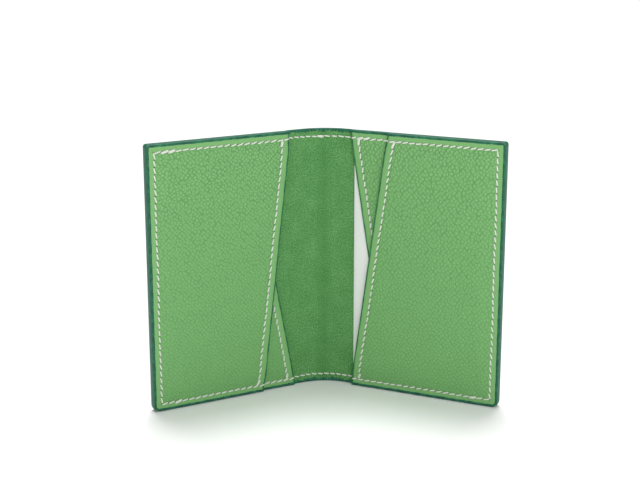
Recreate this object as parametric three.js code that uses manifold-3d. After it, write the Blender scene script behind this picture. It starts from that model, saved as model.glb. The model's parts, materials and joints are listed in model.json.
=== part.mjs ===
// Bi-fold leather card holder standing on its short edges, half open.
// Millimetres. +Z up, +X to the right, -Y towards the inside faces. The origin is the middle of the
// footprint, on the surface it stands on.
//
// The cover is one piece of leather folded round a card-thick spine. It is modelled as three stiff
// stretches: the left half, the spine and the right half, which turn about two upright fold lines at
// mid-thickness. Each half carries an inner pocket panel and a front pocket panel with crossing slanted
// mouths, sewn to the cover on three sides.

import * as THREE from 'three';
import { mergeVertices } from 'three/addons/utils/BufferGeometryUtils.js';
import Module from 'manifold-3d';

const wasm = await Module();
wasm.setup();

// Driving dimensions.
const HEIGHT = 100; // along the fold
const HALF_WIDTH = 66.6; // fold line to outer edge
const HALF_ANGLE = THREE.MathUtils.degToRad(25.6); // each half, forward of flat
const COVER_THICKNESS = 1;
const PANEL_THICKNESS = 0.7;
const SEAT_GAP = 0.3; // between pieces that touch
const CLOSED_GAP = 0.4; // between the facing stitches when folded shut
const TOP_CORNER_RADIUS = 1;
const BOTTOM_CORNER_RADIUS = 2;

const STITCH_INSET = 3; // stitch line to leather edge
const SEAM_BAND = STITCH_INSET + 0.4; // width of the sewn, bonded edge of each panel
const STITCH_PITCH = 2.65;
const STITCH_LENGTH = 2.1;
const THREAD_WIDTH = 0.55;
const THREAD_HEIGHT = 0.3;
const LINK_HEIGHT = 0.15; // thread left showing between two stitches
const POST_WIDTH = 0.8 * THREAD_WIDTH; // thread drawn tight through a hole
const POST_CLEARANCE = 0.1; // end stitch to the thread that comes up at the end of the row
const FOLD_MARGIN = 1.6; // last stitch hole to fold line

// The card fills its slot: 54 x 85.6 at the holder's full size.
const CARD_TO_SEAM = 1.1; // card to the sewn band at the outer edge
const CARD_TO_FOLD = 8.1;
const CARD_HEADROOM = 7; // above the card, below the top band
const CARD_WIDTH = HALF_WIDTH - SEAM_BAND - CARD_TO_SEAM - CARD_TO_FOLD;
const CARD_HEIGHT = HEIGHT - 2 * (SEAM_BAND + SEAT_GAP) - CARD_HEADROOM;
const CARD_THICKNESS = 0.4;

// Distance from the fold line to the mouth of each panel, at its top and bottom ends.
const POCKETS = {
  left: { front: { top: 10.8, bottom: 22.4 }, inner: { top: 26.6, bottom: 7.7 } },
  right: { front: { top: 21.8, bottom: 8.2 }, inner: { top: 6.7, bottom: 22.6 } },
};

const LEATHER = { color: 0x7fb577, roughness: 0.62, metalness: 0 };
const SUEDE = { color: 0x579453, roughness: 0.95, metalness: 0 };
const THREAD = { color: 0xe1e1d7, roughness: 0.7, metalness: 0 };
const CARD_STOCK = { color: 0xd4d9d3, roughness: 0.5, metalness: 0 };

// Depths of the layers, from the cover's mid-thickness towards the inside.
const COVER_FACE = COVER_THICKNESS / 2;
const INNER_BACK = COVER_FACE + CARD_THICKNESS + 2 * SEAT_GAP;
const INNER_FACE = INNER_BACK + PANEL_THICKNESS;
const FRONT_BACK = INNER_FACE + THREAD_HEIGHT + 2 * SEAT_GAP;
const FRONT_FACE = FRONT_BACK + PANEL_THICKNESS;
const THREAD_TOP = SEAT_GAP + THREAD_HEIGHT;

// The fold lines are far enough apart for the closed halves to lie flat on each other.
const FOLD_SPACING = 2 * (FRONT_FACE + THREAD_TOP) + CLOSED_GAP;
const FOLD_RADIUS = COVER_THICKNESS / 2;

const HOLE_SIZE = THREAD_WIDTH + 2 * SEAT_GAP;
const ROW_TOP = HEIGHT - STITCH_INSET;
const ROW_BOTTOM = STITCH_INSET;
const CURVE_SEGMENTS = 6;
const OVERRUN = 1; // how far a cutting solid runs past what it cuts

function toSolid(geometry) {
  geometry.deleteAttribute('normal');
  geometry.deleteAttribute('uv');
  const merged = mergeVertices(geometry);
  const vertProperties = new Float32Array(merged.attributes.position.array);
  const triVerts = new Uint32Array(merged.index.array);
  return new wasm.Manifold(new wasm.Mesh({ numProp: 3, vertProperties, triVerts }));
}

function toMesh(name, solid, look) {
  const { vertProperties, triVerts } = solid.getMesh();
  const geometry = new THREE.BufferGeometry();
  geometry.setAttribute('position', new THREE.BufferAttribute(vertProperties, 3));
  geometry.setIndex(new THREE.BufferAttribute(triVerts, 1));
  geometry.computeVertexNormals();
  const mesh = new THREE.Mesh(geometry, new THREE.MeshStandardMaterial(look));
  mesh.name = name;
  return mesh;
}

const joined = (solids) => solids.reduce((whole, piece) => whole.add(piece));
const cut = (solid, cutters) => cutters.reduce((rest, cutter) => rest.subtract(cutter), solid);

// A flat outline in x and z becomes a plate between two depths; depth runs towards -Y.
function plate(outline, fromDepth, toDepth) {
  const options = { depth: toDepth - fromDepth, bevelEnabled: false, curveSegments: CURVE_SEGMENTS };
  const geometry = new THREE.ExtrudeGeometry(outline, options);
  return toSolid(geometry.rotateX(Math.PI / 2).translate(0, -fromDepth, 0));
}

function block(x, z, width, height, fromDepth, toDepth) {
  const depth = toDepth - fromDepth;
  const geometry = new THREE.BoxGeometry(width, depth, height);
  return toSolid(geometry.translate(x, -fromDepth - depth / 2, z));
}

const polygon = (points) => new THREE.Shape(points.map(([x, y]) => new THREE.Vector2(x, y)));

// One half's flat layout. Positions are distances from its outer edge; side is -1 left, 1 right.
class Half {
  constructor(side, pockets) {
    this.side = side;
    this.pockets = pockets;
    this.foldEnd = HALF_WIDTH - FOLD_MARGIN;
  }

  x(distance) {
    return this.side * (HALF_WIDTH - distance);
  }

  points(pairs) {
    return polygon(pairs.map(([distance, z]) => [this.x(distance), z]));
  }

  reach(panel, z) {
    return HALF_WIDTH - THREE.MathUtils.lerp(panel.bottom, panel.top, z / HEIGHT);
  }

  // Outline from the outer edge, with its two rounded corners, to an inner edge.
  outline(topReach, bottomReach) {
    const shape = new THREE.Shape();
    const edge = this.x(0);
    shape.moveTo(this.x(bottomReach), 0);
    shape.lineTo(this.x(BOTTOM_CORNER_RADIUS), 0);
    shape.quadraticCurveTo(edge, 0, edge, BOTTOM_CORNER_RADIUS);
    shape.lineTo(edge, HEIGHT - TOP_CORNER_RADIUS);
    shape.quadraticCurveTo(edge, HEIGHT, this.x(TOP_CORNER_RADIUS), HEIGHT);
    shape.lineTo(this.x(topReach), HEIGHT);
    return shape;
  }

  // The four places where the perimeter thread is carried through every layer.
  seamHoles() {
    const corners = [
      [STITCH_INSET, ROW_TOP],
      [STITCH_INSET, ROW_BOTTOM],
      [this.foldEnd, ROW_TOP],
      [this.foldEnd, ROW_BOTTOM],
    ];
    return corners.map(([distance, z]) => [this.x(distance), z]);
  }

  // Both ends of the stitch line that follows a panel's mouth.
  mouthEnds(panel) {
    const slope = (panel.top - panel.bottom) / HEIGHT;
    const inset = STITCH_INSET * Math.hypot(1, slope);
    const end = SEAM_BAND + SEAT_GAP + THREAD_WIDTH / 2;
    return [HEIGHT - end, end].map((z) => [this.x(this.reach(panel, z) - inset), z]);
  }

  cover() {
    const start = HALF_WIDTH - FOLD_RADIUS - SEAT_GAP;
    const sheet = plate(this.outline(start, start), -COVER_FACE, COVER_FACE);
    return cut(sheet, this.seamHoles().map((at) => hole(at, -COVER_FACE, COVER_FACE)));
  }

  // A pocket panel: a sheet whose three sewn edges reach down to the layer behind it.
  panel(panel, layerBehind, back, face) {
    const outline = this.outline(this.reach(panel, HEIGHT), this.reach(panel, 0));
    const sheet = plate(outline, layerBehind + SEAT_GAP, face);
    const past = HALF_WIDTH;
    const pocket = this.points([
      [SEAM_BAND, SEAM_BAND],
      [past, SEAM_BAND],
      [past, HEIGHT - SEAM_BAND],
      [SEAM_BAND, HEIGHT - SEAM_BAND],
    ]);
    const recess = plate(pocket, layerBehind - OVERRUN, back);
    return cut(sheet, [recess]);
  }

  innerPocket() {
    const { inner } = this.pockets;
    const body = this.panel(inner, COVER_FACE, INNER_BACK, INNER_FACE);
    const holes = [...this.seamHoles(), ...this.mouthEnds(inner)];
    return cut(body, holes.map((at) => hole(at, COVER_FACE, INNER_FACE)));
  }

  frontPocket() {
    const { front } = this.pockets;
    const body = joined([this.panel(front, INNER_FACE, FRONT_BACK, FRONT_FACE), this.heel()]);
    const holes = [...this.seamHoles(), ...this.mouthEnds(front)];
    return cut(body, holes.map((at) => hole(at, COVER_FACE, FRONT_FACE)));
  }

  // Where the front panel runs on past the inner one, its sewn edge reaches down to the cover.
  heel() {
    const { front, inner } = this.pockets;
    const topIsWide = front.top < inner.top;
    const edge = topIsWide ? HEIGHT : 0;
    const bandEnd = topIsWide ? HEIGHT - SEAM_BAND : SEAM_BAND;
    const shape = this.points([
      [this.reach(inner, edge) + SEAT_GAP, edge],
      [this.reach(front, edge), edge],
      [this.reach(front, bandEnd), bandEnd],
      [this.reach(inner, bandEnd) + SEAT_GAP, bandEnd],
    ]);
    return plate(shape, COVER_FACE + SEAT_GAP, FRONT_FACE);
  }

  // The faces that a level row passes over on the inside, in order from the outer edge.
  insideSpans(z) {
    const frontEnd = this.reach(this.pockets.front, z) + SEAT_GAP;
    const innerEnd = this.reach(this.pockets.inner, z) + SEAT_GAP;
    const spans = [{ end: frontEnd, face: FRONT_FACE }];
    if (innerEnd > frontEnd) spans.push({ end: innerEnd, face: INNER_FACE });
    spans.push({ end: this.foldEnd, face: COVER_FACE });
    return spans.map(({ end, face }) => ({ end: end - STITCH_INSET, face }));
  }

  seamThread() {
    const corner = [this.x(STITCH_INSET), ROW_TOP];
    const foot = [this.x(STITCH_INSET), ROW_BOTTOM];
    const sideLength = ROW_TOP - ROW_BOTTOM;
    const rowLength = this.foldEnd - STITCH_INSET;
    const towardsFold = [-this.side, 0];
    const back = -COVER_FACE;
    const rows = [
      stitchRow(corner, [0, -1], [{ end: sideLength, face: FRONT_FACE }], 1),
      stitchRow(corner, [0, -1], [{ end: sideLength, face: back }], -1),
      stitchRow(corner, towardsFold, this.insideSpans(ROW_TOP), 1),
      stitchRow(foot, towardsFold, this.insideSpans(ROW_BOTTOM), 1),
      stitchRow(corner, towardsFold, [{ end: rowLength, face: back }], -1),
      stitchRow(foot, towardsFold, [{ end: rowLength, face: back }], -1),
    ];
    const faces = [FRONT_FACE, FRONT_FACE, COVER_FACE, COVER_FACE];
    const posts = this.seamHoles().map((at, i) => post(at, back - THREAD_TOP, faces[i] + THREAD_TOP));
    return joined([...rows, ...posts]);
  }

  mouthThread(panel, back, face) {
    const [upper, lower] = this.mouthEnds(panel);
    const run = [lower[0] - upper[0], lower[1] - upper[1]];
    const length = Math.hypot(...run);
    const row = stitchRow(upper, [run[0] / length, run[1] / length], [{ end: length, face }], 1);
    return joined([row, ...[upper, lower].map((at) => post(at, back, face + THREAD_TOP))]);
  }

  meshes(name) {
    const { front, inner } = this.pockets;
    return [
      toMesh(`${name}_cover`, this.cover(), SUEDE),
      toMesh(`${name}_inner_pocket`, this.innerPocket(), LEATHER),
      toMesh(`${name}_front_pocket`, this.frontPocket(), LEATHER),
      toMesh(`${name}_seam_thread`, this.seamThread(), THREAD),
      toMesh(`${name}_inner_mouth_thread`, this.mouthThread(inner, INNER_BACK, INNER_FACE), THREAD),
      toMesh(`${name}_front_mouth_thread`, this.mouthThread(front, FRONT_BACK, FRONT_FACE), THREAD),
    ];
  }
}

function hole([x, z], fromDepth, toDepth) {
  return block(x, z, HOLE_SIZE, HOLE_SIZE, fromDepth - OVERRUN, toDepth + OVERRUN);
}

function post([x, z], fromDepth, toDepth) {
  return block(x, z, POST_WIDTH, POST_WIDTH, fromDepth, toDepth);
}

// A run of stitches from a point in x and z along a direction. Each span gives where it ends along the
// run and the face it lies on; up is 1 where the thread stands towards the inside and -1 outside.
// The thread is one strand: a raised stretch for each stitch and a thin link between two stitches.
function stitchRow([x, z], [alongX, alongZ], spans, up) {
  const margin = THREAD_WIDTH / 2;
  const knot = margin + POST_CLEARANCE;
  const upper = [];
  const under = [];
  let start = 0;
  spans.forEach(({ end, face }, i) => {
    const last = i === spans.length - 1;
    const level = (height) => face + up * height;
    const from = i === 0 ? -margin : start;
    const to = last ? end + margin : end;
    const count = Math.max(1, Math.round((end - start) / STITCH_PITCH));
    const pitch = (end - start) / count;
    const length = (STITCH_LENGTH / STITCH_PITCH) * pitch;
    const overhang = i === 0 ? 0 : THREAD_WIDTH;
    upper.push([from + overhang, level(SEAT_GAP + LINK_HEIGHT)]);
    for (let n = 0; n < count; n += 1) {
      const first = start + n * pitch + (pitch - length) / 2;
      const head = Math.max(first, i === 0 ? knot : from + overhang + SEAT_GAP);
      const tail = last ? Math.min(first + length, end - knot) : first + length;
      upper.push([head, level(SEAT_GAP + LINK_HEIGHT)], [head, level(THREAD_TOP)]);
      upper.push([tail, level(THREAD_TOP)], [tail, level(SEAT_GAP + LINK_HEIGHT)]);
    }
    upper.push([last ? to : to + THREAD_WIDTH, level(SEAT_GAP + LINK_HEIGHT)]);
    under.push([from, level(SEAT_GAP)], [to, level(SEAT_GAP)]);
    start = end;
  });
  const profile = polygon([...upper, ...under.reverse()]);
  const geometry = new THREE.ExtrudeGeometry(profile, { depth: THREAD_WIDTH, bevelEnabled: false });
  geometry.translate(0, 0, -THREAD_WIDTH / 2);
  const along = new THREE.Vector3(alongX, 0, alongZ);
  const depth = new THREE.Vector3(0, -1, 0);
  const across = new THREE.Vector3().crossVectors(along, depth);
  const place = new THREE.Matrix4().makeBasis(along, depth, across).setPosition(x, 0, z);
  return toSolid(geometry.applyMatrix4(place));
}

// The spine's stretch of the cover: flat between the fold lines, rounded about each of them.
function spineCover(holes) {
  const half = FOLD_SPACING / 2;
  const section = new THREE.Shape();
  section.moveTo(-half, -FOLD_RADIUS);
  section.lineTo(half, -FOLD_RADIUS);
  section.absarc(half, 0, FOLD_RADIUS, -Math.PI / 2, Math.PI / 2, false);
  section.lineTo(-half, FOLD_RADIUS);
  section.absarc(-half, 0, FOLD_RADIUS, Math.PI / 2, (3 * Math.PI) / 2, false);
  const options = { depth: HEIGHT, bevelEnabled: false, curveSegments: 2 * CURVE_SEGMENTS };
  const solid = toSolid(new THREE.ExtrudeGeometry(section, options));
  return cut(solid, holes.map((at) => hole(at, -COVER_FACE, COVER_FACE)));
}

const spineRowHalf = FOLD_SPACING / 2 - FOLD_MARGIN;
const spineHoles = (z) => [-spineRowHalf, spineRowHalf].map((x) => [x, z]);

function spineThread(z) {
  const start = [-spineRowHalf, z];
  const rows = [1, -1].map((up) =>
    stitchRow(start, [1, 0], [{ end: 2 * spineRowHalf, face: up * COVER_FACE }], up));
  const ends = COVER_FACE + THREAD_TOP;
  return joined([...rows, ...spineHoles(z).map((at) => post(at, -ends, ends))]);
}

// A plain card in the right half's rear slot, standing on the seam at the bottom of the pocket.
function card(half) {
  const depth = COVER_FACE + SEAT_GAP;
  const x = half.x(SEAM_BAND + CARD_TO_SEAM + CARD_WIDTH / 2);
  const z = SEAM_BAND + SEAT_GAP + CARD_HEIGHT / 2;
  return toMesh('card', block(x, z, CARD_WIDTH, CARD_HEIGHT, depth, depth + CARD_THICKNESS), CARD_STOCK);
}

const left = new Half(-1, POCKETS.left);
const right = new Half(1, POCKETS.right);

const spineGroup = new THREE.Group();
spineGroup.add(
  toMesh('spine_cover', spineCover([...spineHoles(ROW_TOP), ...spineHoles(ROW_BOTTOM)]), SUEDE),
  toMesh('spine_top_thread', spineThread(ROW_TOP), THREAD),
  toMesh('spine_bottom_thread', spineThread(ROW_BOTTOM), THREAD),
);

const leftGroup = new THREE.Group();
leftGroup.position.x = -FOLD_SPACING / 2;
leftGroup.rotation.z = HALF_ANGLE;
leftGroup.add(...left.meshes('left'));

const rightGroup = new THREE.Group();
rightGroup.position.x = FOLD_SPACING / 2;
rightGroup.rotation.z = -HALF_ANGLE;
rightGroup.add(...right.meshes('right'), card(right));

const holder = new THREE.Group();
holder.add(spineGroup, leftGroup, rightGroup);

// The fold lines move back until the footprint is centred on the origin.
const group = new THREE.Group();
group.add(holder);
const middle = new THREE.Box3().setFromObject(group, true).getCenter(new THREE.Vector3());
holder.position.y = -middle.y;

export default group;
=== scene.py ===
"""Looks of a folding leather card holder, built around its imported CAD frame.

Lengths inside the classes are millimetres, in each half's flat layout: how far a point is from the
outer edge, how high it is, and how deep it lies from the cover's mid-thickness towards the inside.
Fold.place carries such points into the row frame, in metres.
"""

import json
import logging
import math
from collections.abc import Callable
from dataclasses import dataclass, field
from enum import Enum

import bmesh
import bpy
import numpy as np
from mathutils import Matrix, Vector


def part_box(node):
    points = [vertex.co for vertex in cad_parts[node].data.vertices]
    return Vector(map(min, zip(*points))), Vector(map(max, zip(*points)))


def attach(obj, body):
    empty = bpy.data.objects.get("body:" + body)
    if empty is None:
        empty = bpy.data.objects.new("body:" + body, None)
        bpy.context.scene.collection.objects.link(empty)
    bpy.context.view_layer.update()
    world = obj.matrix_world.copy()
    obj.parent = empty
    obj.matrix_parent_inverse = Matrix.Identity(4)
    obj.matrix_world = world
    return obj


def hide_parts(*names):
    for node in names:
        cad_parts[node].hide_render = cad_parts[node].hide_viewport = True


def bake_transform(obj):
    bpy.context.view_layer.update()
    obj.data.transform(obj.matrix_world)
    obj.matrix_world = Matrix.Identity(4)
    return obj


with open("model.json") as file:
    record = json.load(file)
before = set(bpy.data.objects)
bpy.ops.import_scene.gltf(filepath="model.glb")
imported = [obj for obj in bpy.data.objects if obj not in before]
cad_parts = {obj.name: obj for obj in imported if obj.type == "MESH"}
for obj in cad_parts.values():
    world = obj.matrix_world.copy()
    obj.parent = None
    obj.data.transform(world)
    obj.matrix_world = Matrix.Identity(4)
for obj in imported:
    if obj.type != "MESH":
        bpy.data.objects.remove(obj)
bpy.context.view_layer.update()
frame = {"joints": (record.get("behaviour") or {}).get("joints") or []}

log = logging.getLogger("card_holder")

MM = 0.001
PANEL_BACK_SHIFT = 300.0  # moves the grain on a panel's back away from that on its face
COVER_BACK_SHIFT = 150.0  # the same, for the outside of the cover
FAR_FROM_EDGES = 9.0
Array = np.ndarray


class Side(Enum):
    """The two halves of the holder; the value is the sign of their X."""

    LEFT = -1.0
    RIGHT = 1.0

    @property
    def word(self) -> str:
        """The half's name as the frame's nodes spell it."""
        return self.name.lower()

    @property
    def body(self) -> str:
        """The frame body that the half rides on."""
        return f"{self.word}_half"


class Slot(Enum):
    """The record's material slots."""

    GRAIN = "grained_leather"
    COVER = "cover_leather"
    THREAD = "thread"
    CARD = "card"


def smooth(value: Array | float) -> Array:
    """Eased step from 0 to 1 as value goes from 0 to 1."""
    t = np.clip(value, 0.0, 1.0)
    return t * t * (3.0 - 2.0 * t)


def ripple(s: Array, z: Array, seed: float) -> Array:
    """Slow, fixed unevenness of a hide, between about -1 and 1.

    Args:
        s: distances from the outer edge.
        z: heights.
        seed: shifts the pattern, so that two panels differ.

    Returns:
        One value for each point.
    """
    waves = ((0.071, 0.043, 1.3), (-0.052, 0.088, 4.1), (0.113, -0.061, 2.2), (0.031, 0.149, 5.7))
    total = sum(np.sin(2 * np.pi * (fs * s + fz * z) * 0.55 + phase * seed) for fs, fz, phase in waves)
    return total / len(waves)


def ragged(t: Array, seed: float) -> Array:
    """Quick, fixed unevenness along a painted line, between about -1 and 1."""
    waves = ((0.28, 1.1), (0.71, 3.7), (0.11, 5.2), (1.13, 0.4), (0.93, 2.9))
    return sum(np.sin(2 * np.pi * f * t + p * seed) for f, p in waves) / len(waves) * 1.6


# ---------------------------------------------------------------- layout


@dataclass(frozen=True)
class Fold:
    """The line that the folded cover follows, seen from above, with a soft bend at the spine.

    Each half is straight, and the two meet in an arc that is tangent to both.
    """

    hinge_x: float
    hinge_y: float
    angle: float
    half_width: float
    height: float
    thickness: float
    bend_reach: float = 9.0

    @classmethod
    def from_frame(cls) -> "Fold":
        """Reads the fold lines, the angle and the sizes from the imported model."""
        joints = {joint["name"]: joint for joint in frame["joints"]}
        hinge = [value / MM for value in joints["right_fold"]["pos_m"]]
        axis = joints["card_slide"]["axis"]
        angle = math.atan2(axis[1], -axis[0])
        spine_low, spine_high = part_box("spine_cover")
        thickness = (spine_high.y - spine_low.y) / MM
        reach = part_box("right_cover")[1].x / MM - thickness / 2 * math.sin(angle)
        width = (reach - hinge[0]) / math.cos(angle)
        return cls(hinge[0], hinge[1], angle, width, spine_high.z / MM, thickness)

    @property
    def radius(self) -> float:
        """Radius of the bend at the cover's mid-thickness."""
        return self.bend_reach / math.tan(self.angle)

    @property
    def half_arc(self) -> float:
        """Length of the bend on one side of the middle of the spine."""
        return self.radius * self.angle

    @property
    def reach(self) -> float:
        """Distance along the cover from the outer edge to the middle of the spine."""
        return self.half_arc + self.half_width + self.hinge_x / math.cos(self.angle) - self.bend_reach

    @property
    def corner_y(self) -> float:
        """Where the two straight halves would meet if they ran on."""
        return self.hinge_y + self.hinge_x * math.tan(self.angle)

    def place(self, side: Side, s: Array, depth: Array, z: Array) -> Array:
        """Carries points of a half's flat layout into the row frame.

        Args:
            side: which half.
            s: distances from the outer edge.
            depth: depths from the cover's mid-thickness towards the inside.
            z: heights.

        Returns:
            An array of points in metres, with a last axis of 3.
        """
        s, depth, z = np.broadcast_arrays(*(np.asarray(v, float) for v in (s, depth, z)))
        along = self.reach - s
        turn = np.minimum(along, self.half_arc) / self.radius
        centre_y = self.corner_y - self.radius / math.cos(self.angle)
        straight = np.maximum(along - self.half_arc, 0.0)
        radius = self.radius - depth
        x = radius * np.sin(turn) + straight * math.cos(self.angle)
        y = centre_y + radius * np.cos(turn) - straight * math.sin(self.angle)
        return np.stack([side.value * x, y, z], axis=-1) * MM


@dataclass(frozen=True)
class Panel:
    """A pocket panel: its slanted mouth, and the depths of its face and back.

    The sewn edges are pressed down to the layer behind, and the rest swells to leave a pocket.
    """

    name: str
    side: Side
    mouth_top: float
    mouth_bottom: float
    full_face: float
    full_back: float
    rim_face: float
    rim_back: float
    skive_face: float
    skive_back: float
    seed: float
    height: float

    SWELL = 8.0
    BAND = 3.4
    INSET = 3.0

    def reach(self, z: Array | float) -> Array | float:
        """Distance from the outer edge to the mouth at a height."""
        return self.mouth_bottom + (self.mouth_top - self.mouth_bottom) * z / self.height

    @property
    def lean(self) -> float:
        """Cosine of the mouth's slant."""
        return 1.0 / math.hypot(1.0, (self.mouth_top - self.mouth_bottom) / self.height)

    def sewn(self, s: Array, z: Array) -> Array:
        """Distance to the nearest sewn edge."""
        return np.minimum(s, np.minimum(z, self.height - z))

    def thinned(self, s: Array) -> Array:
        """How far, from 0 to 1, the sewn edge is pared down on its way to the fold."""
        return smooth(s / max(self.mouth_top, self.mouth_bottom))

    def mouth(self, s: Array, z: Array) -> Array:
        """Distance to the mouth."""
        return (self.reach(z) - s) * self.lean

    def face(self, s: Array, z: Array) -> Array:
        """Depth of the face, with the swell, the stitch grooves and the hide's unevenness."""
        sewn = self.sewn(s, z)
        mouth = self.mouth(s, z)
        lift = smooth((sewn - 1.0) / self.SWELL)
        rim = self.rim_face - self.skive_face * self.thinned(s)
        depth = rim + (self.full_face - rim) * lift
        groove = np.exp(-(((sewn - self.INSET) / 0.55) ** 2))
        groove += np.exp(-(((mouth - self.INSET) / 0.5) ** 2))
        droop = 0.22 * smooth(1.0 - mouth / 5.0) * lift
        return depth - 0.1 * groove - droop + 0.13 * ripple(s, z, self.seed) * smooth(sewn / 12.0)

    def back(self, s: Array, z: Array) -> Array:
        """Depth of the back, which meets the layer behind along the sewn edges."""
        lift = smooth((self.sewn(s, z) - self.BAND) / 1.2)
        droop = 0.22 * smooth(1.0 - self.mouth(s, z) / 5.0) * lift
        rim = self.rim_back - self.skive_back * self.thinned(s)
        return rim + (self.full_back - rim) * lift - droop


# ---------------------------------------------------------------- mesh work


def new_object(
    name: str, points: Array, faces: list[tuple[int, ...]], flat: frozenset[int] = frozenset()
) -> bpy.types.Object:
    """Makes a smooth-shaded mesh object with its normals facing out.

    Args:
        name: the piece's name.
        points: vertices in metres.
        faces: closed faces as vertex numbers.
        flat: numbers of the faces that end a sheet or bead and are shaded flat.

    Returns:
        The linked object.
    """
    mesh = bpy.data.meshes.new(name)
    mesh.from_pydata(points.reshape(-1, 3).tolist(), [], faces)
    work = bmesh.new()
    work.from_mesh(mesh)
    bmesh.ops.recalc_face_normals(work, faces=work.faces)
    for face in work.faces:
        face.smooth = face.index not in flat
    work.to_mesh(mesh)
    work.free()
    piece = bpy.data.objects.new(name, mesh)
    bpy.context.scene.collection.objects.link(piece)
    return piece


def store(piece: bpy.types.Object, name: str, values: Array) -> None:
    """Keeps a vector for each vertex under a name that materials read."""
    attribute = piece.data.attributes.new(name, "FLOAT_VECTOR", "POINT")
    attribute.data.foreach_set("vector", np.ascontiguousarray(values, np.float32).ravel())


def grid_faces(rows: int, columns: int, offset: int = 0) -> list[tuple[int, ...]]:
    """Quads of a rows by columns grid of vertices that starts at an offset."""
    index = np.arange(rows * columns).reshape(rows, columns) + offset
    quads = np.stack([index[:-1, :-1], index[1:, :-1], index[1:, 1:], index[:-1, 1:]], axis=-1)
    return [tuple(quad) for quad in quads.reshape(-1, 4).tolist()]


def tube_faces(rings: int, sides: int, offset: int = 0) -> list[tuple[int, ...]]:
    """Faces of a closed tube of rings, with a flat cap at each end."""
    faces = []
    for ring in range(rings - 1):
        for k in range(sides):
            a = offset + ring * sides + k
            b = offset + ring * sides + (k + 1) % sides
            faces.append((a, b, b + sides, a + sides))
    last = offset + (rings - 1) * sides
    faces.append(tuple(range(offset + sides - 1, offset - 1, -1)))
    faces.append(tuple(range(last, last + sides)))
    return faces


def slab(name: str, front: Array, back: Array) -> bpy.types.Object:
    """Closes a front and a back grid of points into one sheet.

    Args:
        name: the piece's name.
        front: grid of points of the face.
        back: grid of points of the back, of the same shape.

    Returns:
        The sheet as an object, front vertices first.
    """
    rows, columns = front.shape[:2]
    count = rows * columns
    faces = grid_faces(rows, columns) + grid_faces(rows, columns, count)
    broad = len(faces)
    index = np.arange(count).reshape(rows, columns)
    rim = np.concatenate([index[:, 0], index[-1, 1:], index[-2::-1, -1], index[0, -2:0:-1]])
    after = np.roll(rim, -1)
    faces += [(a, b, b + count, a + count) for a, b in zip(rim.tolist(), after.tolist())]
    points = np.concatenate([front.reshape(-1, 3), back.reshape(-1, 3)])
    return new_object(name, points, faces, frozenset(range(broad, len(faces))))


FINE_STEPS = (0.0, 0.1, 0.25, 0.5, 0.9, 1.4, 1.9, 2.3, 2.6, 2.8, 3.0, 3.2, 3.4, 3.7, 4.1, 4.6, 5.3, 6.2)


def graded(length: Array | float, middle: int) -> Array:
    """Positions across a length, close together near both ends, where the rows of stitches lie.

    Args:
        length: one length, or one for each line of a grid.
        middle: how many steps the stretch between the two graded ends gets.

    Returns:
        Positions, with the steps on the first axis.
    """
    length = np.atleast_1d(np.asarray(length, float))
    ends = np.array(FINE_STEPS)[:, None] + 0 * length
    share = np.linspace(0, 1, middle + 1)[1:-1, None]
    inner = ends[-1] + share * (length - 2 * ends[-1])
    return np.concatenate([ends, inner, (length - ends)[::-1]])


# ---------------------------------------------------------------- shader writing


class Value:
    """A node's output. Arithmetic on one that carries a number adds Math nodes."""

    def __init__(self, tree: "Finish", socket: bpy.types.NodeSocket) -> None:
        """Wraps a socket of a tree."""
        self.tree = tree
        self.socket = socket

    def _math(self, operation: str, *inputs: "Value | float") -> "Value":
        """One Math node on the given inputs."""
        return self.tree.node("ShaderNodeMath", {"operation": operation}, dict(enumerate(inputs)))

    def __add__(self, other: "Value | float") -> "Value":
        """Sum."""
        return self._math("ADD", self, other)

    __radd__ = __add__

    def __sub__(self, other: "Value | float") -> "Value":
        """Difference."""
        return self._math("SUBTRACT", self, other)

    def __rsub__(self, other: float) -> "Value":
        """Difference from a number."""
        return self._math("SUBTRACT", other, self)

    def __mul__(self, other: "Value | float") -> "Value":
        """Product."""
        return self._math("MULTIPLY", self, other)

    __rmul__ = __mul__

    def __truediv__(self, other: "Value | float") -> "Value":
        """Quotient."""
        return self._math("DIVIDE", self, other)

    def __pow__(self, other: float) -> "Value":
        """Power."""
        return self._math("POWER", self, other)

    def absolute(self) -> "Value":
        """Size without sign."""
        return self._math("ABSOLUTE", self)

    def fraction(self) -> "Value":
        """Part after the decimal point."""
        return self._math("FRACT", self)

    def ease(self, low: float, high: float) -> "Value":
        """Eased step from 0 at low to 1 at high; high may be below low."""
        first, last = (low, high) if low < high else (high, low)
        ends = (0.0, 1.0) if low < high else (1.0, 0.0)
        names = {"Value": self, "From Min": first, "From Max": last, "To Min": ends[0], "To Max": ends[1]}
        return self.tree.node("ShaderNodeMapRange", {"interpolation_type": "SMOOTHSTEP"}, names)


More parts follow.
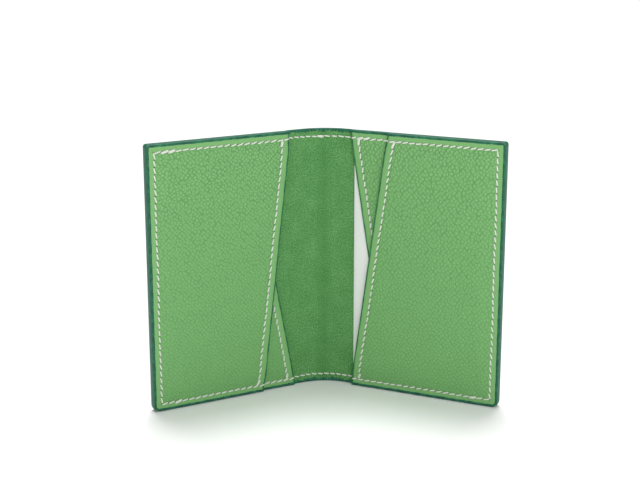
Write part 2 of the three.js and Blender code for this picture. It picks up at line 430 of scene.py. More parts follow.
class Finish:
    """A material's node tree, written as expressions."""

    def __init__(self, name: str) -> None:
        """Starts an empty material."""
        self.material = bpy.data.materials.new(name)
        self.material.use_nodes = True
        self.nodes = self.material.node_tree.nodes
        self.links = self.material.node_tree.links
        self.nodes.clear()

    def node(
        self, kind: str, settings: dict | None = None, inputs: dict | None = None, output: int | str = 0
    ) -> Value:
        """Adds one node.

        Args:
            kind: the node's type.
            settings: its own settings, which are set before its sockets.
            inputs: a number, tuple or Value for each socket, by name or number.
            output: which of its outputs the result stands for.

        Returns:
            The chosen output.
        """
        made = self.nodes.new(kind)
        for key, value in (settings or {}).items():
            setattr(made, key, value)
        for key, value in (inputs or {}).items():
            if isinstance(value, Value):
                self.links.new(value.socket, made.inputs[key])
            else:
                made.inputs[key].default_value = value
        return Value(self, made.outputs[output] if len(made.outputs) else None)

    def attribute(self, name: str) -> Value:
        """A vector kept on the mesh."""
        return self.node("ShaderNodeAttribute", {"attribute_name": name}, output="Vector")

    def split(self, vector: Value) -> tuple[Value, Value, Value]:
        """The three numbers of a vector."""
        first = self.node("ShaderNodeSeparateXYZ", inputs={"Vector": vector})
        outputs = first.socket.node.outputs
        return first, Value(self, outputs[1]), Value(self, outputs[2])

    def vector(self, operation: str, *inputs: "Value | tuple[float, float, float]") -> Value:
        """One Vector Math node."""
        return self.node("ShaderNodeVectorMath", {"operation": operation}, dict(enumerate(inputs)))

    def mix(self, factor: "Value | float", first: "Value | tuple", second: "Value | tuple") -> Value:
        """Blends two colours."""
        inputs = {0: factor, 6: first, 7: second}
        return self.node("ShaderNodeMix", {"data_type": "RGBA"}, inputs, output=2)

    def noise(self, where: Value, scale: float, detail: float = 2.0, output: int | str = 0) -> Value:
        """Noise over the layout, with scale in waves to the millimetre."""
        return self.node("ShaderNodeTexNoise", inputs={"Vector": where, "Scale": scale, "Detail": detail},
                         output=output)

    def cells(self, where: Value, scale: float, feature: str, randomness: float) -> Value:
        """Distance in a pattern of cells, with scale in cells to the millimetre."""
        settings = {"feature": feature, "voronoi_dimensions": "2D"}
        inputs = {"Vector": where, "Scale": scale, "Randomness": randomness}
        return self.node("ShaderNodeTexVoronoi", settings, inputs, output="Distance")

    def bump(self, height: Value, distance: float, strength: float = 1.0) -> Value:
        """A normal that leans with a height, whose full range is a distance in millimetres."""
        return self.node("ShaderNodeBump", inputs={"Height": height, "Distance": distance * MM,
                                                   "Strength": strength})

    def surface(self, inputs: dict) -> bpy.types.Material:
        """Ends the tree in a Principled shader with these inputs and returns the material."""
        shader = self.node("ShaderNodeBsdfPrincipled", inputs=inputs)
        self.node("ShaderNodeOutputMaterial", inputs={"Surface": shader})
        return self.material


Colour = tuple[float, float, float, float]


@dataclass(frozen=True)
class GrainLeather:
    """Pebbled leather: rounded grains in slanted rows, smooth along the sewn edges."""

    name: str = "grained_leather"
    # painted highlight: the lighter colour laid on the pebbles' crowns
    crest_highlight: Colour = (0.215, 0.49, 0.185, 1.0)
    body: Colour = (0.146, 0.372, 0.116, 1.0)
    # painted shade: the darker colour laid in the grain's valleys and along the cut edges
    valley_shade: Colour = (0.075, 0.225, 0.06, 1.0)
    margin: Colour = (0.165, 0.385, 0.13, 1.0)
    # painted shade inside the stitch holes
    hole: Colour = (0.02, 0.085, 0.035, 1.0)
    cell: float = 1.2
    scatter: float = 0.68
    slant: float = 0.8
    warp: float = 0.9
    relief: float = 0.36

    def build(self) -> bpy.types.Material:
        """Writes the material."""
        f = Finish(self.name)
        lay = f.attribute("lay")
        edge, row, phase = f.split(f.attribute("rows"))
        drift = f.noise(lay, 0.45, 2.0, output="Color")
        warp = f.node("ShaderNodeVectorMath", {"operation": "SCALE"}, {0: drift, "Scale": self.warp})
        turn = {"Vector": f.vector("ADD", lay, warp), "Angle": self.slant}
        turned = f.node("ShaderNodeVectorRotate", {"rotation_type": "Z_AXIS"}, turn)
        border = f.cells(turned, 1.0 / self.cell, "DISTANCE_TO_EDGE", self.scatter)
        centre = f.cells(turned, 1.0 / self.cell, "F1", self.scatter)
        dome = 1.0 - (centre * 1.3) ** 2.0
        pebble = border.ease(0.0, 0.3) * 0.3 + dome * 0.7
        _, up, _ = f.split(lay)
        swell = f.noise(lay, 0.22, 1.0).ease(0.3, 0.7)
        pores = f.noise(lay, 5.5, 3.0)
        grained = edge.ease(2.9, 3.9)
        # relief and painted crown highlights grow towards the top, and painted valley shade towards the
        # bottom, as light from above makes them
        high = up.ease(0.0, 105.0)
        depth = grained * (0.75 + 0.25 * swell) * (0.6 + 0.4 * high)
        hole = row.ease(0.34, 0.1) * (phase.fraction() - 0.5).absolute().ease(0.42, 0.49)
        height = pebble * depth + pores * 0.07 - hole * 1.2
        # mask of the grain's valleys, which get painted shade and more roughness; the painted shade is
        # stronger towards the bottom
        valley_mask = (1.0 - border.ease(0.0, 0.2)) * grained * (0.8 - 0.2 * high)
        # painted highlight on the pebbles' crowns, stronger towards the top
        crown_highlight = centre.ease(0.5, 0.1) * depth * (0.35 + 0.65 * high)
        mottle = f.noise(lay, 0.16, 3.0).ease(0.25, 0.75)
        base = f.mix(mottle * 0.3, self.body, tuple(0.87 * c for c in self.body[:3]) + (1.0,))
        base = f.mix(crown_highlight * 0.62, base, self.crest_highlight)
        base = f.mix(grained, f.mix(pores * 0.4, self.margin, self.body), base)
        base = f.mix(valley_mask * 0.48, base, self.valley_shade)
        # painted shade: darker towards the cut edges, where the leather rounds away from the light
        base = f.mix(edge.ease(1.5, 0.2) * 0.35, base, self.valley_shade)
        # painted shade: the stitch holes darkened to near black
        base = f.mix(hole * 0.75, base, self.hole)
        roughness = 0.47 + pores * 0.12 + valley_mask * 0.18
        return f.surface({
            "Base Color": base, "Roughness": roughness, "Normal": f.bump(height, self.relief),
            "Specular IOR Level": 0.42, "Sheen Weight": 0.08, "Sheen Roughness": 0.5,
        })


@dataclass(frozen=True)
class Suede:
    """The cover: grained leather outside, brushed flesh side inside."""

    name: str = "cover_suede"
    nap: Colour = (0.044, 0.176, 0.04, 1.0)
    brushed: Colour = (0.175, 0.425, 0.155, 1.0)
    # painted shade laid along the fold in the middle of the spine
    crease: Colour = (0.05, 0.19, 0.045, 1.0)

    def build(self) -> bpy.types.Material:
        """Writes the material."""
        f = Finish(self.name)
        lay = f.attribute("lay")
        fold, _, _ = f.split(f.attribute("fold"))
        nap = f.noise(lay, 1.9, 4.0).ease(0.34, 0.66)
        fuzz = f.noise(lay, 4.5, 2.0)
        streaks = f.noise(f.vector("MULTIPLY", lay, (1.6, 0.35, 1.0)), 0.35, 4.0)
        patches = f.noise(lay, 0.13, 3.0).ease(0.3, 0.72)
        base = f.mix(patches * 0.14 + streaks * 0.18 + nap * 0.58, self.nap, self.brushed)
        # painted shade: darker along the fold line
        fold_shade = fold.absolute().ease(4.5, 0.0)
        base = f.mix(fold_shade * (0.2 + 0.3 * streaks), base, self.crease)
        return f.surface({
            "Base Color": base, "Roughness": 0.96, "Normal": f.bump(nap * 0.6 + fuzz * 0.4, 0.2),
            "Specular IOR Level": 0.1, "Sheen Weight": 0.12, "Sheen Roughness": 0.6,
            "Sheen Tint": (0.35, 0.7, 0.35, 1.0),
        })


@dataclass(frozen=True)
class EdgePaint:
    """Burnished, painted leather edge."""

    name: str = "edge_paint"
    film: Colour = (0.005, 0.08, 0.046, 1.0)
    thin: Colour = (0.016, 0.165, 0.08, 1.0)

    def build(self) -> bpy.types.Material:
        """Writes the material."""
        f = Finish(self.name)
        lay = f.attribute("lay")
        pull = f.noise(f.vector("MULTIPLY", lay, (0.35, 1.4, 1.0)), 1.1, 3.0)
        base = f.mix(pull.ease(0.35, 0.75), self.film, self.thin)
        return f.surface({
            "Base Color": base, "Roughness": 0.38 + pull * 0.2, "Normal": f.bump(pull, 0.08),
            "Specular IOR Level": 0.3,
        })


@dataclass(frozen=True)
class Thread:
    """Waxed off-white thread of three strands."""

    name: str = "waxed_thread"
    light: Colour = (0.72, 0.75, 0.67, 1.0)
    shade: Colour = (0.42, 0.46, 0.38, 1.0)

    def build(self) -> bpy.types.Material:
        """Writes the material."""
        f = Finish(self.name)
        along, around, _ = f.split(f.attribute("lay"))
        strand = ((along * 1.1 + around * 3.0).fraction() - 0.5).absolute() * 2.0
        base = f.mix(strand.ease(0.55, 1.0) * 0.6, self.light, self.shade)
        return f.surface({
            "Base Color": base, "Roughness": 0.68, "Normal": f.bump(1.0 - strand ** 2.0, 0.09),
            "Sheen Weight": 0.2, "Sheen Roughness": 0.5,
        })


@dataclass(frozen=True)
class CardStock:
    """A plain pale card."""

    name: str = "card_stock"
    face: Colour = (0.87, 0.885, 0.87, 1.0)

    def build(self) -> bpy.types.Material:
        """Writes the material."""
        f = Finish(self.name)
        lay = f.attribute("lay")
        fibre = f.noise(lay, 3.0, 3.0)
        base = f.mix(fibre.ease(0.3, 0.7) * 0.06, self.face, (0.82, 0.84, 0.82, 1.0))
        return f.surface({"Base Color": base, "Roughness": 0.42 + fibre * 0.1,
                          "Normal": f.bump(fibre, 0.01)})


# ---------------------------------------------------------------- sub-assemblies


@dataclass
class Palette:
    """The finishes, built once and shared by the pieces."""

    grain: bpy.types.Material = field(default_factory=lambda: GrainLeather().build())
    suede: bpy.types.Material = field(default_factory=lambda: Suede().build())
    paint: bpy.types.Material = field(default_factory=lambda: EdgePaint().build())
    mouth: bpy.types.Material = field(default_factory=lambda: EdgePaint(
        "mouth_edge_paint", (0.01, 0.11, 0.036, 1.0), (0.035, 0.2, 0.058, 1.0)).build())
    thread: bpy.types.Material = field(default_factory=lambda: Thread().build())
    card: bpy.types.Material = field(default_factory=lambda: CardStock().build())


@dataclass(frozen=True)
class StitchRow:
    """A straight run of stitches between two points of a half's layout.

    Each stitch slants off the run by a fixed angle and is fill times as long as usual. Those
    numbered in doubled, from either end, are sewn twice.
    """

    start: tuple[float, float]
    end: tuple[float, float]
    slant: float
    depth: Callable[[Array, Array], Array]
    up: float = 1.0
    doubled: tuple[int, ...] = ()
    pitch: float = 2.62
    fill: float = 1.0

    @property
    def count(self) -> int:
        """How many stitches fit the run."""
        return max(1, round(math.dist(self.start, self.end) / self.pitch))


@dataclass(frozen=True)
class Sewing:
    """Lays real stitches along rows: slanted, half sunk, with their ends down in the holes."""

    width: float = 0.58
    thickness: float = 0.47
    length: float = 2.58
    sides: int = 10
    rings: int = 9

    def stitch(
        self, fold: Fold, side: Side, row: StitchRow, number: int, layer: int
    ) -> tuple[Array, Array]:
        """Points of one stitch.

        Args:
            fold: carries the points into the row frame.
            side: the half that it lies on.
            row: the run that it belongs to.
            number: its place along the run.
            layer: 0 for a single stitch, and 1 and 2 for the two of a doubled one.

        Returns:
            The points in metres, and for each the distance along and the share of a turn round it.
        """
        (s0, z0), (s1, z1) = row.start, row.end
        share = (number + 0.5) / row.count
        step = math.dist(row.start, row.end) / row.count
        seed = number * 12.9898 + s0 * 3.1 + z0 * 7.3 + row.up
        lean, slip, stretch = (math.modf(math.sin(seed + k * 78.2) * 4375.85)[0] for k in range(3))
        run = math.atan2(z1 - z0, s1 - s0)
        heading = run + row.slant + 0.1 * lean
        shift = 0.1 * slip + (0.0, 0.17, -0.17)[layer]
        half = self.length / 2 * row.fill * step / row.pitch * (1.0 + 0.07 * stretch + 0.08 * bool(layer))
        t = np.linspace(-1.0, 1.0, self.rings)
        s = s0 + (s1 - s0) * share + math.cos(heading) * half * t - math.sin(run) * shift
        z = z0 + (z1 - z0) * share + math.sin(heading) * half * t + math.cos(run) * shift
        lift = 0.15 - 0.48 * np.abs(t) ** 4.5 + 0.08 * layer
        centre = row.depth(s, z) + row.up * lift
        taper = 1.0 - 0.5 * np.abs(t) ** 3
        turn = np.linspace(0, 2 * np.pi, self.sides, endpoint=False)
        across = self.width / 2 * taper[:, None] * np.cos(turn)
        rise = self.thickness / 2 * taper[:, None] * np.sin(turn)
        points = fold.place(side, s[:, None] - math.sin(heading) * across, centre[:, None] + rise,
                            z[:, None] + math.cos(heading) * across)
        lay = np.zeros(points.shape)
        lay[..., 0] = half * t[:, None]
        lay[..., 1] = turn / (2 * np.pi)
        return points.reshape(-1, 3), lay.reshape(-1, 3)

    def build(self, name: str, fold: Fold, side: Side, rows: list[StitchRow]) -> bpy.types.Object:
        """Sews rows into one piece.

        Args:
            name: the piece's name.
            fold: carries the points into the row frame.
            side: the half that it lies on.
            rows: the runs of stitches.

        Returns:
            The stitches as an object.
        """
        points, lays, faces = [], [], []
        size = self.rings * self.sides
        for row in rows:
            for number in range(row.count):
                twice = number in row.doubled or number - row.count in row.doubled
                for layer in (1, 2) if twice else (0,):
                    made, lay = self.stitch(fold, side, row, number, layer)
                    faces += tube_faces(self.rings, self.sides, len(points) * size)
                    points.append(made)
                    lays.append(lay)
        piece = new_object(name, np.concatenate(points), faces)
        store(piece, "lay", np.concatenate(lays))
        return piece


@dataclass(frozen=True)
class Bead:
    """A domed, painted edge that laps a little onto the leather on both sides."""

    bulge: float = 0.45
    film: float = 0.04
    lap: float = 0.6
    rough: float = 0.14
    arc: int = 11

    def build(
        self, name: str, fold: Fold, side: Side, line: Array, out: Array, back: Array, front: Array,
        lap: Array | float | None = None, uneven: Array | float = 0.22,
    ) -> bpy.types.Object:
        """Runs the bead along an edge line.

        Args:
            name: the piece's name.
            fold: carries the points into the row frame.
            side: the half that it lies on.
            line: points of the leather's edge as distance and height.
            out: unit directions away from the leather at those points.
            back: depth of the outside of the edge at each point.
            front: depth of the inside of the edge at each point.
            lap: how far the paint laps onto the inside face, if it isn't the usual lap.
            uneven: how much of that lap comes and goes along the edge.

        Returns:
            The bead as an object.
        """
        length = np.concatenate([[0.0], np.cumsum(np.linalg.norm(np.diff(line, axis=0), axis=1))])
        usual = self.lap if lap is None else lap
        front_lap = usual * (1.0 + uneven * ragged(length, 1.7))
        back_lap = self.lap + self.rough * ragged(length, 4.3)
        middle, half = (front + back) / 2, (front - back) / 2 + self.film
        outs, depths = [-back_lap], [middle - half]
        for angle in np.linspace(-np.pi / 2, np.pi / 2, self.arc):
            outs.append(np.full(len(line), self.bulge * max(math.cos(angle), 0.0) ** 0.9))
            depths.append(middle + half * math.sin(angle))
        outs += [-front_lap, -front_lap - 0.05, -back_lap - 0.05]
        depths += [middle + half, middle + half - 0.2, middle - half + 0.2]
        offset, depth = np.stack(outs, 1), np.stack(depths, 1)
        s = line[:, :1] + out[:, :1] * offset
        z = line[:, 1:] + out[:, 1:] * offset
        points = fold.place(side, s, depth, z)
        rings, sides = offset.shape
        faces = tube_faces(rings, sides)
        piece = new_object(name, points, faces, frozenset((len(faces) - 2, len(faces) - 1)))
        lay = np.stack([length[:, None] + 0 * depth, depth, 0 * depth], axis=-1)
        store(piece, "lay", lay.reshape(-1, 3))
        return piece


@dataclass
class HolderHalf:
    """One half of the holder: its stretch of cover, its two pocket panels, edges and stitches."""

    side: Side
    fold: Fold
    palette: Palette
    inner: Panel
    front: Panel
    sewing: Sewing = Sewing()
    bead: Bead = Bead()
    mouth_bead: Bead = Bead(bulge=0.2, film=0.03, lap=0.42, rough=0.1)
    edge_inset: float = 0.45
    stitch_inset: float = 3.0
    bare_lap: float = 0.66
    foot_lap: float = 0.2
    bend_start: float = 8.8
    bend_end: float = 1.0
    corner_top: float = 1.0
    corner_bottom: float = 2.0
    perimeter_slant: float = math.radians(13)
    mouth_slant: float = math.radians(-11)

    @property
    def cover_face(self) -> float:
        """Depth of the cover's inside face."""
        return self.fold.thickness / 2

    def fold_weight_span(self) -> tuple[tuple[float, float, float], tuple[float, float, float]]:
        """Where the cover starts and ends turning from this half to the spine."""
        start = self.fold.place(self.side, self.fold.reach - self.bend_start, 0.0, 0.0)
        end = self.fold.place(self.side, self.fold.reach - self.bend_end, 0.0, 0.0)
        return tuple(map(float, start)), tuple(map(float, end))

    def finish(
        self, piece: bpy.types.Object, material: bpy.types.Material, slot: Slot, *nodes: str,
        bends: bool = False,
    ) -> None:
        """Dresses a piece and fixes it to its half's body, or, if it crosses the fold, bakes it where it
        stands.

        Args:
            piece: the piece.
            material: its finish.
            slot: the record's slot that the finish stands for; not used.
            nodes: the frame's nodes that it replaces.
            bends: whether it crosses the fold line.
        """
        piece.data.materials.append(material)
        if bends:
            start, end = self.fold_weight_span()
            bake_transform(piece)
        else:
            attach(piece, self.side.body)
        if nodes:
            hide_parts(*nodes)
        log.info("%s: %d faces", piece.name, len(piece.data.polygons))

    def corner_cut(self, z: Array) -> Array:
        """How far the rounded corners cut in from the outer edge at a height."""
        low = np.clip(self.corner_bottom - z, 0, self.corner_bottom)
        high = np.clip(z - (self.fold.height - self.corner_top), 0, self.corner_top)
        return (self.corner_bottom - np.sqrt(self.corner_bottom**2 - low**2)) + (
            self.corner_top - np.sqrt(self.corner_top**2 - high**2))

    def sheet_grid(self, end: Callable[[Array], Array], middle: int) -> tuple[Array, Array]:
        """A grid over the half, from its outer edge to an inner line.

        Args:
            end: gives the inner line's distance from the outer edge at each height.
            middle: steps across the plain stretch.

        Returns:
            Distances from the outer edge and heights.
        """
        inset = self.edge_inset
        z = inset + graded(self.fold.height - 2 * inset, 58)[:, 0]
        first = inset + self.corner_cut(z)
        s = first + graded(end(z) - first, middle)
        return s, np.broadcast_to(z, s.shape)

    def rows_attribute(self, s: Array, z: Array, panel: Panel | None) -> Array:
        """Distance of each point to the edge and to the nearest stitches, and its place along them."""
        height, inset = self.fold.height, self.stitch_inset
        runs = [
            (np.abs(s - inset), (z - inset), height - 2 * inset),
            (np.abs(z - inset), (s - inset), self.sewn_end(inset) - inset),
            (np.abs(height - inset - z), (s - inset), self.sewn_end(height - inset) - inset),
        ]
        edge = np.minimum(np.minimum(s, z), height - z)
        if panel is not None:
            mouth = panel.mouth(s, z)
            edge = np.minimum(edge, mouth)
            lean = panel.lean
            runs.append((np.abs(mouth - inset), (z - inset) / lean, (height - 2 * inset) / lean))
        away = np.stack([run[0] for run in runs])
        along = np.stack([run[1] / run[2] * max(1, round(run[2] / StitchRow.pitch)) for run in runs])
        nearest = np.argmin(away, axis=0)[None]
        rows = [edge, np.take_along_axis(away, nearest, 0)[0], np.take_along_axis(along, nearest, 0)[0]]
        return np.stack(rows, axis=-1).reshape(-1, 3)

    def sewn_end(self, z: float) -> float:
        """Where a level row of stitches runs off the panels, as distance from the outer edge."""
        return max(float(self.inner.reach(z)), float(self.front.reach(z))) + 0.4

    def build_panel(self, panel: Panel, replaced: str) -> None:
        """Makes a pocket panel with its painted mouth.

        Args:
            panel: its shape.
            replaced: the frame's node that it stands for.
        """
        s, z = self.sheet_grid(lambda height: panel.reach(height) - self.edge_inset / 2, 34)
        face = self.fold.place(self.side, s, panel.face(s, z), z)
        back = self.fold.place(self.side, s, panel.back(s, z), z)
        piece = slab(panel.name, face, back)
        squeeze = 1.0 if self.side is Side.LEFT else 0.84  # the right half's grains are longer upright
        lay = np.stack([s + 80 * panel.seed, z * squeeze, 0 * s], axis=-1).reshape(-1, 3)
        store(piece, "lay", np.concatenate([lay, lay + PANEL_BACK_SHIFT]))
        rows = self.rows_attribute(s, z, panel)
        store(piece, "rows", np.concatenate([rows, np.full_like(rows, FAR_FROM_EDGES)]))
        self.finish(piece, self.palette.grain, Slot.GRAIN, replaced)
        self.build_mouth_edge(panel)

    def build_mouth_edge(self, panel: Panel) -> None:
        """Paints a panel's mouth edge with a thin bead."""
        z = self.edge_inset + graded(self.fold.height - 2 * self.edge_inset, 90)[:, 0]
        s = panel.reach(z) - self.edge_inset / 2
        slope = (panel.mouth_top - panel.mouth_bottom) / panel.height
        out = np.tile([panel.lean, -slope * panel.lean], (len(z), 1))
        line = np.stack([s, z], axis=1)
        piece = self.mouth_bead.build(f"{panel.name}_mouth_edge", self.fold, self.side, line, out,
                                      panel.back(s, z), panel.face(s, z))
        self.finish(piece, self.palette.mouth, Slot.GRAIN)

    def top_layer(self, s: Array, z: Array) -> Array:
        """Depth of whatever layer is on top at a point, for stitches and edges."""
        cover = self.cover_face + 0.0 * s
        inner = np.where(s <= self.inner.reach(z), self.inner.face(s, z), cover)
        return np.where(s <= self.front.reach(z), self.front.face(s, z), inner)

    def cover_depth(self, s: Array, z: Array) -> Array:
        """Depth of the cover's suede face, with the crease that folding has left."""
        across = self.fold.reach - s
        crease = 0.16 * np.exp(-((across / 0.7) ** 2))
        return self.cover_face - crease + 0.05 * ripple(s, z, 2.6) * smooth(s / 60)

    def build_cover(self) -> None:
        """Makes the half's stretch of the cover, up to the middle of the spine."""
        s, z = self.sheet_grid(lambda height: self.fold.reach + 0 * height, 70)
        inside = self.fold.place(self.side, s, self.cover_depth(s, z), z)
        outside = self.fold.place(self.side, s, -self.cover_face + 0 * s, z)
        middle = self.fold.place(self.side, s, 0 * s, z)
        nodes = [f"{self.side.word}_cover"]
        if self.side is Side.LEFT:
            nodes.append("spine_cover")
        suede = slab(f"{self.side.word}_cover_suede", inside, middle)
        lay = np.stack([self.side.value * (self.fold.reach - s), z, 0 * s], axis=-1).reshape(-1, 3)
        store(suede, "lay", np.concatenate([lay, lay]))
        fold = np.stack([self.fold.reach - s, z, 0 * s], axis=-1).reshape(-1, 3)
        store(suede, "fold", np.concatenate([fold, fold]))
        self.finish(suede, self.palette.suede, Slot.COVER, *nodes, bends=True)
        grain = slab(f"{self.side.word}_cover_grain", middle, outside)
        store(grain, "lay", np.concatenate([lay, lay + COVER_BACK_SHIFT]))
        rows = self.rows_attribute(s, z, None)
        store(grain, "rows", np.concatenate([rows, rows]))
        self.finish(grain, self.palette.grain, Slot.COVER, bends=True)

    def perimeter_line(self) -> tuple[Array, Array]:
        """The leather's outer outline from the middle of the spine round to it again.

        Returns:
            Points as distance and height, and the unit directions away from the leather.
        """
        inset, height, end = self.edge_inset, self.fold.height, self.fold.reach
        mouths = [panel.reach(z) for panel in (self.inner, self.front) for z in (0.0, height)]
        steps = np.concatenate([np.linspace(end, 3.0, 200)] + [[m - 0.05, m + 0.05] for m in mouths])
        level = np.sort(steps)[::-1]
        upright = np.linspace(height - 2.5, 3.0, 200)
        top = np.stack([level, np.full(len(level), height - inset)], 1)
        side = np.stack([np.full(len(upright), inset), upright], 1)
        bottom = np.stack([level[::-1], np.full(len(level), inset)], 1)
        turn = np.linspace(0, np.pi / 2, 9)
        high = self.arc_points(self.corner_top - inset / 2, (self.corner_top + inset / 2,
                               height - self.corner_top - inset / 2), np.pi / 2 + turn)
        low = self.arc_points(self.corner_bottom - inset / 2, (self.corner_bottom + inset / 2,
                              self.corner_bottom + inset / 2), np.pi + turn)
        line = np.concatenate([top, high[0], side, low[0], bottom])
        out = np.concatenate([
            np.tile([0.0, 1.0], (len(top), 1)), high[1], np.tile([-1.0, 0.0], (len(side), 1)),
            low[1], np.tile([0.0, -1.0], (len(bottom), 1))])
        return line, out

    @staticmethod
    def arc_points(radius: float, centre: tuple[float, float], turn: Array) -> tuple[Array, Array]:
        """Points of a round corner and the directions away from it."""
        out = np.stack([np.cos(turn), np.sin(turn)], 1)
        return np.array(centre) + radius * out, out

    def build_edge(self) -> None:
        """Paints the half's outer edges, over all the layers at once."""
        line, out = self.perimeter_line()
        s, z = line[:, 0], line[:, 1]
        inward = 0.5
        front = self.top_layer(s - out[:, 0] * inward, z - out[:, 1] * inward)
        bare = s > np.maximum(self.front.reach(z), self.inner.reach(z))
        lap = np.where(bare, self.bare_lap, self.bead.lap) + self.foot_lap * (z < self.stitch_inset / 2)
        back = np.full(len(s), -self.cover_face)
        piece = self.bead.build(f"{self.side.word}_painted_edge", self.fold, self.side, line, out,
                                back, front, lap, np.where(bare, 0.75, 0.2))
        self.finish(piece, self.palette.paint, Slot.COVER, bends=True)

    def seam_rows(self) -> list[StitchRow]:
        """The perimeter stitches, inside and outside."""
        inset, end, height = self.stitch_inset, self.fold.reach, self.fold.height
        slant = self.perimeter_slant * -self.side.value
        inside = [StitchRow((inset, inset), (inset, height - inset), slant, self.top_layer)]
        top_doubled = (1, 2) if self.side is Side.LEFT else (-3, -2)
        for z, doubled in ((height - inset, top_doubled), (inset, (2,))):
            off = self.sewn_end(z)
            fill = 1.1 if z > inset else 1.03
            inside.append(
                StitchRow((inset, z), (off, z), slant, self.top_layer, doubled=doubled, fill=fill))
            last = (-1,) if self.side is Side.LEFT and z > inset else ()
            inside.append(StitchRow((off, z), (end, z), -0.6 * slant, self.top_layer, doubled=last))
        outside = [
            StitchRow(row.start, row.end, -row.slant, lambda s, z: 0.0 * s - self.cover_face, up=-1.0)
            for row in inside
        ]
        return inside + outside

    def build_stitches(self) -> None:
        """Sews the perimeter and the two mouths."""
        word = self.side.word
        spine = "top" if self.side is Side.LEFT else "bottom"
        nodes = [f"{word}_seam_thread", f"spine_{spine}_thread"]
        seam = self.sewing.build(f"{word}_seam_stitches", self.fold, self.side, self.seam_rows())
        self.finish(seam, self.palette.thread, Slot.THREAD, *nodes, bends=True)
        for panel, layer in ((self.inner, "inner"), (self.front, "front")):
            ends = []
            for z in (self.stitch_inset, self.fold.height - self.stitch_inset):
                ends.append((float(panel.reach(z)) - self.stitch_inset / panel.lean, z))
            slant = self.mouth_slant * -self.side.value
            row = StitchRow(ends[0], ends[1], slant, panel.face, doubled=(0, -1))
            name = f"{word}_{layer}_mouth"
            piece = self.sewing.build(f"{name}_stitches", self.fold, self.side, [row])
            self.finish(piece, self.palette.thread, Slot.THREAD, f"{name}_thread")

    def build(self) -> None:
        """Makes every piece of the half."""
        self.build_cover()
        self.build_panel(self.inner, f"{self.side.word}_inner_pocket")
        self.build_panel(self.front, f"{self.side.word}_front_pocket")
        self.build_edge()
        self.build_stitches()


@dataclass
class BlankCard:
    """The plain card in the right half's rear slot."""

    fold: Fold
    palette: Palette
    width: float = 54.0
    height: float = 85.6
    thickness: float = 0.4
    corner: float = 3.2
    from_edge: float = 4.5
    from_floor: float = 3.7

    def build(self) -> None:
        """Makes the card and lets it ride on its own body."""
        outline = []
        for quarter, (cs, cz) in enumerate(((1, 1), (0, 1), (0, 0), (1, 0))):
            centre_s = self.from_edge + (self.width - self.corner if cs else self.corner)
            centre_z = self.from_floor + (self.height - self.corner if cz else self.corner)
            turn = np.linspace(0, np.pi / 2, 8) + quarter * np.pi / 2
            outline.append(np.stack([centre_s + self.corner * np.cos(turn),
                                     centre_z + self.corner * np.sin(turn)], 1))
        outline = np.concatenate(outline)
        middle = outline.mean(axis=0)
        near = self.fold.thickness / 2 + 0.3
        soft = 0.06
        rings = [(soft, near), (0.0, near + soft), (0.0, near + self.thickness - soft),
                 (soft, near + self.thickness)]
        points, lay = [], []
        for inset, depth in rings:
            inward = (middle - outline) / np.linalg.norm(middle - outline, axis=1)[:, None]
            ring = outline + inward * inset
            points.append(self.fold.place(Side.RIGHT, ring[:, 0], depth, ring[:, 1]))
            lay.append(np.stack([ring[:, 0], ring[:, 1], 0 * ring[:, 0]], 1))
        piece = new_object("blank_card", np.concatenate(points), tube_faces(len(rings), len(outline)))
        store(piece, "lay", np.concatenate(lay))
        piece.data.materials.append(self.palette.card)
        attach(piece, "card")
        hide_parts("card")
        log.info("%s: %d faces", piece.name, len(piece.data.polygons))


# ---------------------------------------------------------------- studio


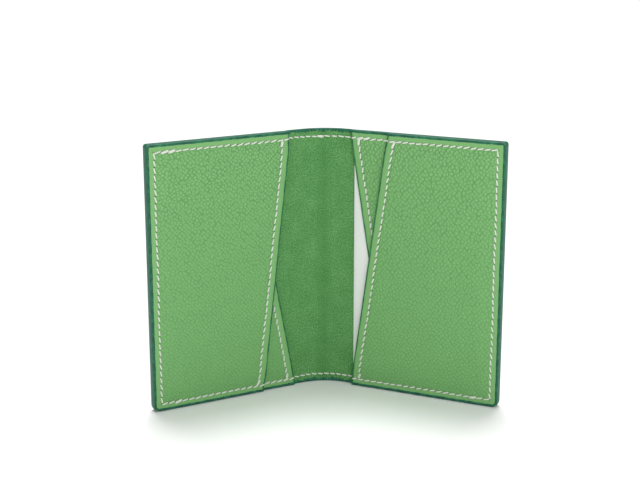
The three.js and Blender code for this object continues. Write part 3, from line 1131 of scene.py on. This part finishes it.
@dataclass(frozen=True)
class Studio:
    """Pale floor, soft light and the camera."""

    eye: tuple[float, float, float] = (-0.01915, -0.49034, 0.19166)
    yaw: float = math.radians(2.021)
    pitch: float = math.radians(14.961)
    lens: float = 77.47

    def build_floor(self) -> None:
        """Lays the floor that the holder stands on."""
        mesh = bpy.data.meshes.new("floor")
        size = 30.0
        mesh.from_pydata([(-size, -size, 0), (size, -size, 0), (size, size, 0), (-size, size, 0)], [],
                         [(0, 1, 2, 3)])
        floor = bpy.data.objects.new("floor", mesh)
        bpy.context.scene.collection.objects.link(floor)
        f = Finish("pale_floor")
        mesh.materials.append(f.surface({"Base Color": (0.9, 0.9, 0.9, 1.0), "Roughness": 0.6}))

    def area_light(self, name: str, place: Vector, aim: Vector, size: float, power: float) -> None:
        """Hangs a square soft light.

        Args:
            name: the light's name.
            place: where it hangs.
            aim: the point that it faces.
            size: its side.
            power: its power in watts.
        """
        data = bpy.data.lights.new(name, "AREA")
        data.size = size
        data.energy = power
        lamp = bpy.data.objects.new(name, data)
        lamp.location = place
        lamp.rotation_euler = (aim - place).to_track_quat("-Z", "Y").to_euler()
        bpy.context.scene.collection.objects.link(lamp)

    def build_light(self) -> None:
        """Sets a bright room and two soft lights."""
        world = bpy.data.worlds.new("studio")
        bpy.context.scene.world = world
        world.use_nodes = True
        background = world.node_tree.nodes["Background"]
        background.inputs["Color"].default_value = (1.0, 1.0, 1.0, 1.0)
        background.inputs["Strength"].default_value = 0.5
        bpy.context.scene.view_settings.view_transform = "Standard"
        self.area_light("front", Vector((0.1, -0.55, 0.42)), Vector((0.0, 0.0, 0.05)), 0.3, 1.95)
        data = bpy.data.lights.new("overhead", "SUN")
        data.energy = 2.5
        data.angle = math.radians(28)
        sun = bpy.data.objects.new("overhead", data)
        sun.rotation_euler = Vector((0.0, -0.33, -0.94)).to_track_quat("-Z", "Y").to_euler()
        bpy.context.scene.collection.objects.link(sun)

    def build_camera(self) -> None:
        """Sets the camera at the object's usual viewing angle."""
        data = bpy.data.cameras.new("view")
        data.lens = self.lens
        data.sensor_width = 36.0
        camera = bpy.data.objects.new("view", data)
        level = math.cos(self.pitch)
        forward = Vector((math.sin(self.yaw) * level, math.cos(self.yaw) * level, -math.sin(self.pitch)))
        camera.location = self.eye
        camera.rotation_euler = forward.to_track_quat("-Z", "Y").to_euler()
        bpy.context.scene.collection.objects.link(camera)
        bpy.context.scene.camera = camera

    def build(self) -> None:
        """Makes the floor, lights and camera."""
        self.build_floor()
        self.build_light()
        self.build_camera()


def pocket_panels(fold: Fold) -> dict[Side, tuple[Panel, Panel]]:
    """The inner and front panel of each half, whose mouths are set out from the fold line."""
    wide = fold.half_width
    inner = {"full_face": 2.2, "full_back": 1.5, "rim_face": 1.85, "rim_back": 0.5,
             "skive_face": 0.4, "skive_back": 0.0, "height": fold.height}
    front = {"full_face": 3.8, "full_back": 3.1, "rim_face": 3.2, "rim_back": 1.8,
             "skive_face": 0.75, "skive_back": 0.4, "height": fold.height}
    return {
        Side.LEFT: (
            Panel("left_inner_panel", Side.LEFT, wide - 26.6, wide - 7.7, seed=1.0, **inner),
            Panel("left_front_panel", Side.LEFT, wide - 10.0, wide - 21.9, seed=2.0, **front),
        ),
        Side.RIGHT: (
            Panel("right_inner_panel", Side.RIGHT, wide - 6.3, wide - 22.6, seed=3.0, **inner),
            Panel("right_front_panel", Side.RIGHT, wide - 21.6, wide - 7.7, seed=4.0, **front),
        ),
    }


def main() -> None:
    """Builds the holder and its studio."""
    logging.basicConfig(level=logging.INFO, format="%(name)s %(message)s")
    fold = Fold.from_frame()
    palette = Palette()
    panels = pocket_panels(fold)
    for side in Side:
        inner, front = panels[side]
        HolderHalf(side, fold, palette, inner, front).build()
    BlankCard(fold, palette).build()
    Studio().build()


if __name__ == "__main__":
    main()
